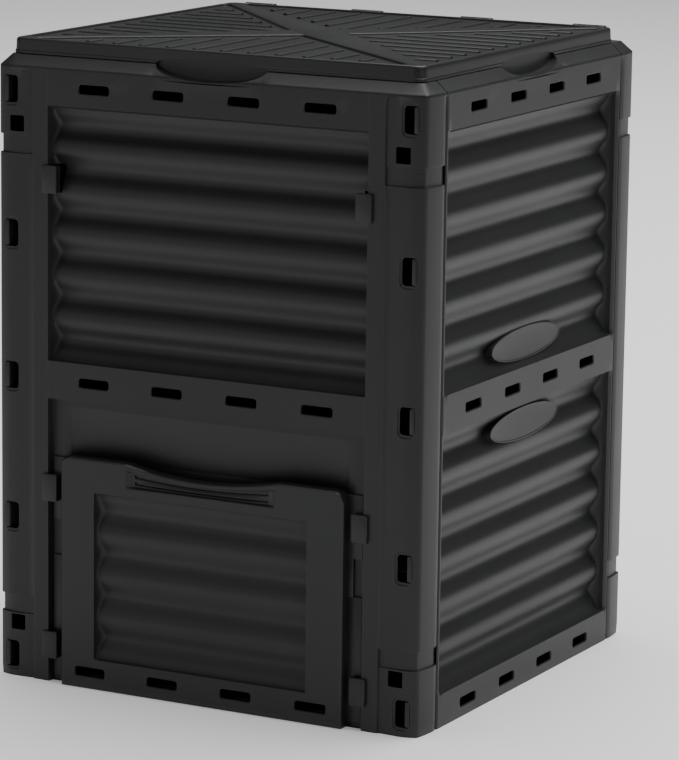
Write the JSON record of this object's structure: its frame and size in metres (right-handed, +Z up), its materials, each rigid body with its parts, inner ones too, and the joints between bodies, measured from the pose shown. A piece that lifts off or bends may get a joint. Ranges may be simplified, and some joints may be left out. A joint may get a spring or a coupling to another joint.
{
  "type": "garden compost bin",
  "caption": "Square upright garden compost bin with corrugated vented walls that hook together at the corners, a hinged ribbed lid and a lift-up hatch door at the foot of the front wall.",
  "frame": {"origin": "on the ground under the middle of the bin, at the bottom centre of the bounding box in X and of the four walls in Y", "axes": "+X to the right seen from the hatch side, +Y towards the back (hinge) wall, +Z up"},
  "size_m": [0.6032, 0.6117, 0.8128],
  "materials": {
    "wall_plastic": "satin, faintly grained, charcoal black",
    "lid_plastic": "satin, faintly grained, charcoal black",
    "door_plastic": "satin, faintly grained, charcoal black",
    "pin_plastic": "satin black"
  },
  "bodies": {
    "bin": {"front_wall": "wall_plastic", "back_wall": "wall_plastic", "left_wall": "wall_plastic", "right_wall": "wall_plastic", "hinge_pins": "pin_plastic"},
    "lid": {"lid": "lid_plastic"},
    "door": {"hatch_door": "door_plastic"}
  },
  "joints": [
    {"name": "lid_hinge", "type": "hinge", "parent": "bin", "child": "lid", "pos_m": [0, 0.27203, 0.804], "axis": [-1, 0, 0], "range_deg": [0, 110]},
    {"name": "door_lift", "type": "slide", "parent": "bin", "child": "door", "axis": [0, 0, 1], "range_m": [0, 0.069]}
  ]
}
